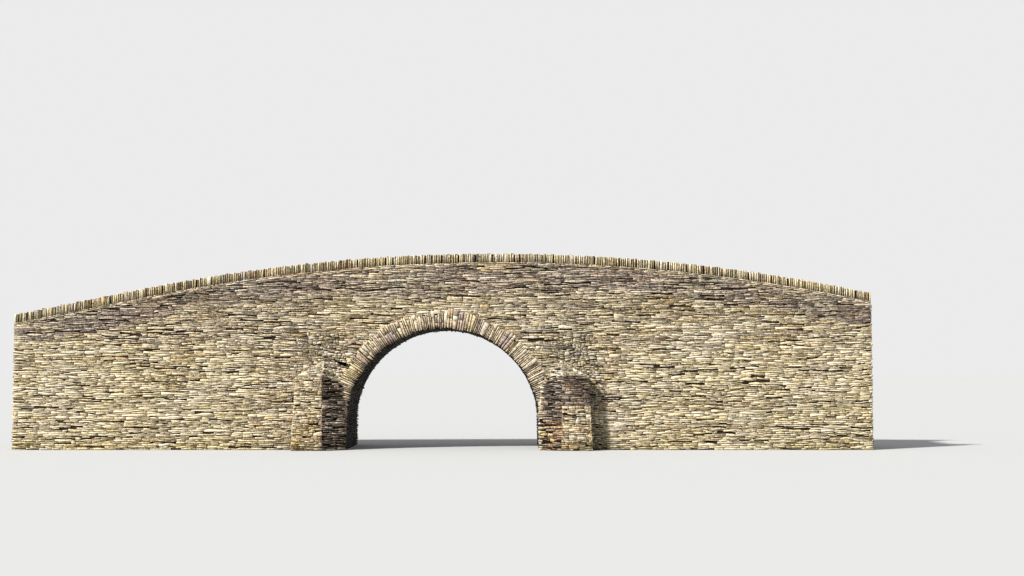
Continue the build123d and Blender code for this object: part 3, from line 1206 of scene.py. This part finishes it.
RUNS = {
    "left": (-HALF_LENGTH, -ABUTMENT_BACK),
    "crest": (-ABUTMENT_BACK, ABUTMENT_BACK),
    "right": (ABUTMENT_BACK, HALF_LENGTH),
}
COPING_JOINT = (0.02, 0.05)
COPING_GRAIN = 1.7
LEAST_SPLIT_SLAB = 0.115
ROAD_CAMBER = 0.055
ROAD_LIFT = 0.022
ROAD_DEPTH = 0.12
TRACK_DEPTH = 0.022
TRACK_OFFSET = 0.72
TRACK_WIDTH = 0.16


class Upright:
    """A joint between slabs on edge: it leans a little from the plumb."""

    def __init__(self, x, lean, foot):
        self.level, self.lean, self.foot = x, lean, foot

    def __call__(self, z):
        return self.level + self.lean * (z - self.foot)


def coping_slabs(rng, low, high):
    """Slabs on edge over one run of the coping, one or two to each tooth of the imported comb."""
    count = max(2, round((high - low) / COPING_PITCH))
    places = [low + (high - low) * place for place in uneven_joints(count, COPING_WIDTHS)]
    edges = []
    for i, (start, end) in enumerate(zip(places, places[1:])):
        top = hump((start + end) / 2) + COPING_STEPS[i % len(COPING_STEPS)]
        edges.append((start, top))
        if end - start > LEAST_SPLIT_SLAB and rng.random() < 0.95:
            edges.append((start + (end - start) * rng.uniform(0.4, 0.6), top + rng.uniform(-0.03, 0.01)))
    edges.append((high, 0.0))
    joints = [Upright(x, rng.uniform(-0.05, 0.05), hump(x, COPING_HEIGHT)) for x, _ in edges]
    for joint in (joints[0], joints[-1]):
        joint.lean = 0.0
        if abs(joint.level) > HALF_LENGTH - CORNER_LAP:
            joint.level += math.copysign(CORNER_LAP, joint.level)
    return [(left, right, top) for left, right, (_, top) in zip(joints, joints[1:], edges)]


def coping(face, material):
    """The slabs of the coping on one parapet, seen from both sides and from above."""
    rng = seeded(71, face)
    profile = through_profile(HALF_WIDTH - ROAD_HALF_WIDTH)
    for run, (low, high) in RUNS.items():
        stones = []
        for left, right, top in coping_slabs(rng, low, high):
            bottom = hump((left.level + right.level) / 2, COPING_HEIGHT) - rng.uniform(-0.01, 0.035)
            tip = top + rng.uniform(0.006, 0.03)
            lean = rng.uniform(-0.012, 0.012)
            ends = (bottom, bottom), (tip - lean, tip + lean)
            outline = stone_outline(rng, *ends, left, right, warped=False, bed_joint=COPING_JOINT)
            if outline is None:
                continue
            outline = tidied([(x, z) for z, x in reversed(outline)])
            if face == REAR:
                outline = [(-x, z) for x, z in reversed(outline)]
            tint = tint_at(rng, COPING_TINTS, COPING_GRAIN * left.level, 0.0, COPING_SPREAD)
            stones.append(stone(rng, outline, tint, COPING_PROUD))
        name, place = f"{FACES[face]}_{run}_coping_stones", on_face(face)
        stone_piece(name, stones, place, "coping_stone", material, face + 13, profile, COPING_ROUGHNESS)


def end_wall(side, material):
    """The plain end of the bridge, where the road runs on, with the ends of its parapets."""
    rng = random.Random(81 + side)
    end = side * HALF_LENGTH
    road = hump(end, PARAPET_HEIGHT)
    top = hump(end, COPING_HEIGHT)

    def limits(u, v):
        lines = [*between_sides(HALF_WIDTH + CORNER_LAP), OVER_GROUND]
        if abs(u) < ROAD_HALF_WIDTH - 0.02:
            lines.append((0.0, 1.0, road - 0.02))
            return None if v > road else lines
        if v > road:
            lines.append((-math.copysign(1, u), 0.0, CORNER_LAP / 2 - ROAD_HALF_WIDTH))
        return [*lines, (0.0, 1.0, top)]

    rise_at, sizes_at = everywhere(END_RISE), everywhere(END_SIZES)
    stones = coursed(rng, ACROSS, (0.0, top), rise_at, sizes_at, limits, END_TINTS)
    stone_piece(f"{SIDES[side]}_end_stones", stones, on_end(side), "rubble_fill", material, side + 91)


def deselect_all():
    """Nothing selected, so that the next operator acts only on what it adds."""
    bpy.ops.object.select_all(action="DESELECT")


def road_surface(material):
    """Rolled gravel with a slight camber and two worn wheel tracks."""
    deselect_all()
    bpy.ops.mesh.primitive_grid_add(x_subdivisions=300, y_subdivisions=32, size=2, location=(0, 0, 0))
    piece = bpy.context.object
    piece.name = "road_surface"
    count = len(piece.data.vertices)
    points = np.empty(count * 3, np.float32)
    piece.data.vertices.foreach_get("co", points)
    points = points.reshape(-1, 3).astype(float)
    x, y = points[:, 0] * (HALF_LENGTH - 0.002), points[:, 1] * (ROAD_HALF_WIDTH - 0.005)
    camber = ROAD_CAMBER * (1 - (y / ROAD_HALF_WIDTH) ** 2)
    tracks = -TRACK_DEPTH * np.exp(-(((np.abs(y) - TRACK_OFFSET) / TRACK_WIDTH) ** 2))
    wander = 0.006 * np.sin(1.9 * x + 2.3 * y) + 0.005 * np.sin(5.1 * x - 3.7 * y)
    wander = wander + 0.004 * np.sin(11 * x + 8 * y)
    points[:, 0], points[:, 1] = x, y
    points[:, 2] = hump(x) - PARAPET_HEIGHT + ROAD_LIFT + camber + tracks + wander
    piece.data.vertices.foreach_set("co", points.astype(np.float32).ravel())
    piece.data.update()
    bpy.ops.object.mode_set(mode="EDIT")
    bpy.ops.mesh.select_all(action="SELECT")
    bpy.ops.mesh.extrude_region_move(TRANSFORM_OT_translate={"value": (0, 0, -ROAD_DEPTH)})
    bpy.ops.mesh.select_all(action="SELECT")
    bpy.ops.mesh.normals_make_consistent(inside=False)
    bpy.ops.object.mode_set(mode="OBJECT")
    bpy.ops.object.transform_apply(location=True, rotation=True, scale=True)
    for polygon in piece.data.polygons:
        polygon.use_smooth = polygon.normal.z > 0.5
    piece.data.materials.append(material)
    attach(piece, BODY)


# Materials


class Nodes:
    """A short way to build the nodes of a material or a world."""

    def __init__(self, owner):
        owner.use_nodes = True
        self.owner = owner
        self.tree = owner.node_tree

    def add(self, kind, inputs=None, **settings):
        node = self.tree.nodes.new(kind)
        for key, value in settings.items():
            setattr(node, key, value)
        for key, value in (inputs or {}).items():
            if isinstance(value, bpy.types.NodeSocket):
                self.tree.links.new(value, node.inputs[key])
            else:
                node.inputs[key].default_value = value
        return node

    def noise(self, vector, scale, detail=4.0, roughness=0.6):
        inputs = {"Vector": vector, "Scale": scale, "Detail": detail, "Roughness": roughness}
        return self.add("ShaderNodeTexNoise", inputs).outputs["Fac"]

    def stretch(self, vector, scale):
        return self.add("ShaderNodeMapping", {"Vector": vector, "Scale": scale}).outputs["Vector"]

    def ramp(self, value, low, high):
        inputs = {"Value": value, "From Min": low, "From Max": high}
        return self.add("ShaderNodeMapRange", inputs, interpolation_type="SMOOTHSTEP").outputs["Result"]

    def maths(self, operation, first, second):
        return self.add("ShaderNodeMath", {0: first, 1: second}, operation=operation).outputs[0]

    def mix(self, factor, first, second, blend="MIX"):
        inputs = {0: factor, 6: first, 7: second}
        return self.add("ShaderNodeMix", inputs, data_type="RGBA", blend_type=blend).outputs[2]

    def darken(self, colour, factor, amount):
        """The colour multiplied by a grey or a tint where the factor is high."""
        return self.mix(factor, colour, self.mix(1.0, colour, amount, "MULTIPLY"))

    def shown_rays(self):
        """1 for rays that see the backdrop: from the camera, or by reflection or transmission."""
        rays = self.add("ShaderNodeLightPath").outputs
        seen = self.maths("MAXIMUM", rays["Is Camera Ray"], rays["Is Glossy Ray"])
        return self.maths("MAXIMUM", seen, rays["Is Transmission Ray"])

    def multiplied(self, colour, factor, low, high):
        """The colour times a grey that runs from low to high with the factor."""
        return self.mix(1.0, colour, self.mix(factor, grey(low), grey(high)), "MULTIPLY")

    def finish(self, colour, roughness, specular):
        """The material, with this colour and shine."""
        shader = self.tree.nodes["Principled BSDF"]
        self.tree.links.new(colour, shader.inputs["Base Color"])
        shader.inputs["Roughness"].default_value = roughness
        shader.inputs["Specular IOR Level"].default_value = specular
        return self.owner

    def bump(self, relief, strength, distance):
        """A relief of the material's surface."""
        inputs = {"Height": relief, "Strength": strength, "Distance": distance}
        normal = self.add("ShaderNodeBump", inputs).outputs["Normal"]
        self.tree.links.new(normal, self.tree.nodes["Principled BSDF"].inputs["Normal"])


def grey(value):
    """A neutral colour."""
    return (value, value, value, 1.0)


def opaque(colour):
    """A colour with full alpha."""
    return (*colour, 1.0)


# Multiplied over the stones where they are warm or damp, and the brightest that a stone may be
WARM = opaque((1.08, 0.94, 0.76))
DAMP = opaque((0.42, 0.43, 0.36))
BRIGHTEST = opaque((0.92, 0.835, 0.67))


def stone_material(name, grain, lichen_amount, stain_amount, damp_amount):
    """Split rubble: each stone's own tint, mottled, streaked and lichened, with a layered grain.

    grain is how close the layers lie across the drawing, up it and out of it.
    """
    build = Nodes(bpy.data.materials.new(name))
    place = build.add("ShaderNodeTexCoord").outputs["Object"]
    tint = build.add("ShaderNodeAttribute", attribute_name="tint").outputs["Color"]
    laid = build.add("ShaderNodeAttribute", attribute_name="laid").outputs["Vector"]
    mottle = build.ramp(build.noise(place, 13.0, 5.0, 0.85), 0.42, 0.58)
    colour = build.multiplied(tint, mottle, 0.47, 1.43)
    strata = build.ramp(build.noise(build.stretch(laid, [0.4 * g for g in grain]), 1.0, 3.0, 0.75), 0.4, 0.6)
    colour = build.multiplied(colour, strata, 0.74, 1.2)
    layers = build.noise(build.stretch(laid, grain), 1.0, 3.0, 0.7)
    colour = build.darken(colour, build.ramp(layers, 0.52, 0.66), grey(0.6))
    warm = build.ramp(build.noise(place, 3.1, 3.0), 0.52, 0.72)
    colour = build.darken(colour, build.maths("MULTIPLY", warm, 0.5), WARM)
    stains = build.ramp(build.noise(build.stretch(place, (1.6, 1.6, 0.35)), 1.0, 4.0), 0.5, 0.72)
    colour = build.darken(colour, build.maths("MULTIPLY", stains, stain_amount), grey(0.55))
    patches = build.ramp(build.noise(place, 1.1, 2.0), 0.45, 0.66)
    spots = build.ramp(build.noise(place, 17.0, 3.0, 0.75), 0.55, 0.61)
    lichen = build.maths("MULTIPLY", build.maths("MULTIPLY", patches, spots), lichen_amount)
    colour = build.mix(lichen, colour, opaque(paint(230, 223, 205)))
    height = build.add("ShaderNodeSeparateXYZ", {0: place}).outputs["Z"]
    damp = build.maths("MULTIPLY", build.ramp(height, 0.8, 0.05), damp_amount)
    colour = build.darken(colour, damp, DAMP)
    colour = build.mix(1.0, colour, BRIGHTEST, "DARKEN")
    build.bump(build.maths("ADD", build.noise(place, 55.0, 6.0, 0.7), layers), 0.7, 0.014)
    return build.finish(colour, 0.9, 0.25)


def mortar_material(name, shade):
    """Deep, dark, earthy joints."""
    build = Nodes(bpy.data.materials.new(name))
    place = build.add("ShaderNodeTexCoord").outputs["Object"]
    blend = build.ramp(build.noise(place, 7.0, 5.0), 0.35, 0.7)
    colour = build.mix(blend, opaque(paint(42, 34, 27)), opaque(paint(76, 64, 50)))
    # A shade below 1 darkens the mortar as painted shade
    colour = build.mix(1.0, colour, grey(shade), "MULTIPLY")
    build.bump(build.noise(place, 45.0, 6.0, 0.7), 0.8, 0.02)
    return build.finish(colour, 0.95, 0.1)


def gravel_material():
    """Rolled gravel, paler where it is dusty."""
    build = Nodes(bpy.data.materials.new("road_gravel"))
    place = build.add("ShaderNodeTexCoord").outputs["Object"]
    pebbles = build.add("ShaderNodeTexVoronoi", {"Vector": place, "Scale": 38.0})
    speckle = build.ramp(pebbles.outputs["Color"], 0.1, 0.9)
    colour = build.mix(speckle, opaque(paint(118, 108, 94)), opaque(paint(182, 170, 148)))
    dust = build.ramp(build.noise(place, 1.4, 4.0), 0.4, 0.65)
    colour = build.mix(build.maths("MULTIPLY", dust, 0.55), colour, opaque(paint(176, 162, 136)))
    pitted = build.maths("ADD", build.noise(place, 30.0, 5.0, 0.7), pebbles.outputs["Distance"])
    build.bump(pitted, 0.7, 0.015)
    return build.finish(colour, 0.95, 0.5)


def show_mortar():
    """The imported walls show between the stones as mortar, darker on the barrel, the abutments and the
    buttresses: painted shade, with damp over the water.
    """
    dry, damp = mortar_material("dark_mortar", 1.0), mortar_material("shaded_damp_mortar", 0.4)
    for name, node in frame["nodes"].items():
        # Painted shade on the barrel, the abutments and the buttresses, with damp over the water
        in_painted_shade = name.endswith(("barrel", "abutment", "buttress"))
        node.data.materials.clear()
        node.data.materials.append(damp if in_painted_shade else dry)


# Floor, light and camera

CAMERA_OFFSET = 2.94
CAMERA_DISTANCE = 61.7
CAMERA_HEIGHT = 3.3
CAMERA_PITCH = math.radians(3.306)
LENS = 51.0
FILM_WIDTH = 36.0
FARTHEST = 3000
FLOOR_RADIUS = 900
FLOOR_SHOWN = opaque((0.545, 0.562, 0.588))
FLOOR_BOUNCE = 0.23
SKY_SHOWN = opaque((0.83, 0.835, 0.83))
FILL_COLOUR = opaque((0.98, 0.97, 0.95))
FILL_STRENGTH = 0.46
SUN_STRENGTH = 5.0
SUN_COLOUR = (1.0, 0.965, 0.895)
SUN_ANGLE = math.radians(5)
SUN_TOWARDS = Vector((0.77, 0.6, -0.88))


def floor():
    """A wide pale floor that meets a pale sky, and throws less light up than it shows."""
    deselect_all()
    bpy.ops.mesh.primitive_circle_add(
        vertices=96, radius=FLOOR_RADIUS, fill_type="NGON", location=(0, 0, -0.004)
    )
    piece = bpy.context.object
    piece.name = "floor"
    build = Nodes(bpy.data.materials.new("floor"))
    colour = build.mix(build.shown_rays(), grey(FLOOR_BOUNCE), FLOOR_SHOWN)
    piece.data.materials.append(build.finish(colour, 0.9, 0.0))


def world():
    """A pale sky: plain to the camera, and a soft fill for the object."""
    build = Nodes(bpy.data.worlds.new("sky"))
    build.tree.nodes.clear()
    fill = build.add("ShaderNodeBackground", {"Color": FILL_COLOUR, "Strength": FILL_STRENGTH})
    shown = build.add("ShaderNodeBackground", {"Color": SKY_SHOWN, "Strength": 1.0})
    inputs = {"Fac": build.shown_rays(), 1: fill.outputs[0], 2: shown.outputs[0]}
    sky = build.add("ShaderNodeMixShader", inputs)
    build.add("ShaderNodeOutputWorld", {"Surface": sky.outputs[0]})
    bpy.context.scene.world = build.owner


def key_light():
    """A soft key from high on the left in front."""
    lamp = bpy.data.lights.new("key", "SUN")
    lamp.energy = SUN_STRENGTH
    lamp.angle = SUN_ANGLE
    lamp.color = SUN_COLOUR
    added("key", lamp).rotation_euler = SUN_TOWARDS.to_track_quat("-Z", "Y").to_euler()


def camera():
    """The photograph's viewpoint: low over the water, a little right of the arch."""
    eye = bpy.data.cameras.new("camera")
    eye.sensor_width = FILM_WIDTH
    eye.lens = LENS
    eye.clip_end = FARTHEST
    holder = added("camera", eye)
    holder.location = (CAMERA_OFFSET, -HALF_WIDTH - CAMERA_DISTANCE, CAMERA_HEIGHT)
    holder.rotation_euler = (math.pi / 2 + CAMERA_PITCH, 0, 0)
    bpy.context.scene.camera = holder


def build_bridge():
    """Every piece of the bridge."""
    bedded, upright = (5.0, 40.0, 5.0), (40.0, 5.0, 5.0)
    show_mortar()
    walling = stone_material("walling_stone", bedded, 0.6, 0.4, 0.55)
    parapets = stone_material("parapet_stone", bedded, 0.45, 0.4, 0.0)
    arch = stone_material("arch_stone", upright, 0.4, 0.35, 0.6)
    copings = stone_material("coping_stone", (22.0, 4.0, 4.0), 0.7, 0.3, 0.0)
    buttresses = stone_material("buttress_stone", bedded, 0.4, 0.45, 0.7)
    for face in FACES:
        face_wall(face, walling, parapets)
        parapet_inside(face, parapets)
        levelling_course(face, parapets)
        arch_ring(face, arch)
        coping(face, copings)
        for side in SIDES:
            buttress(side, face, buttresses)
    waterway_lining(arch)
    for side in SIDES:
        end_wall(side, walling)
    road_surface(gravel_material())


def main():
    """The bridge, its stage and light, and the camera that sees it."""
    build_bridge()
    floor()
    world()
    key_light()
    camera()
    bpy.context.scene.view_settings.view_transform = "Standard"


main()
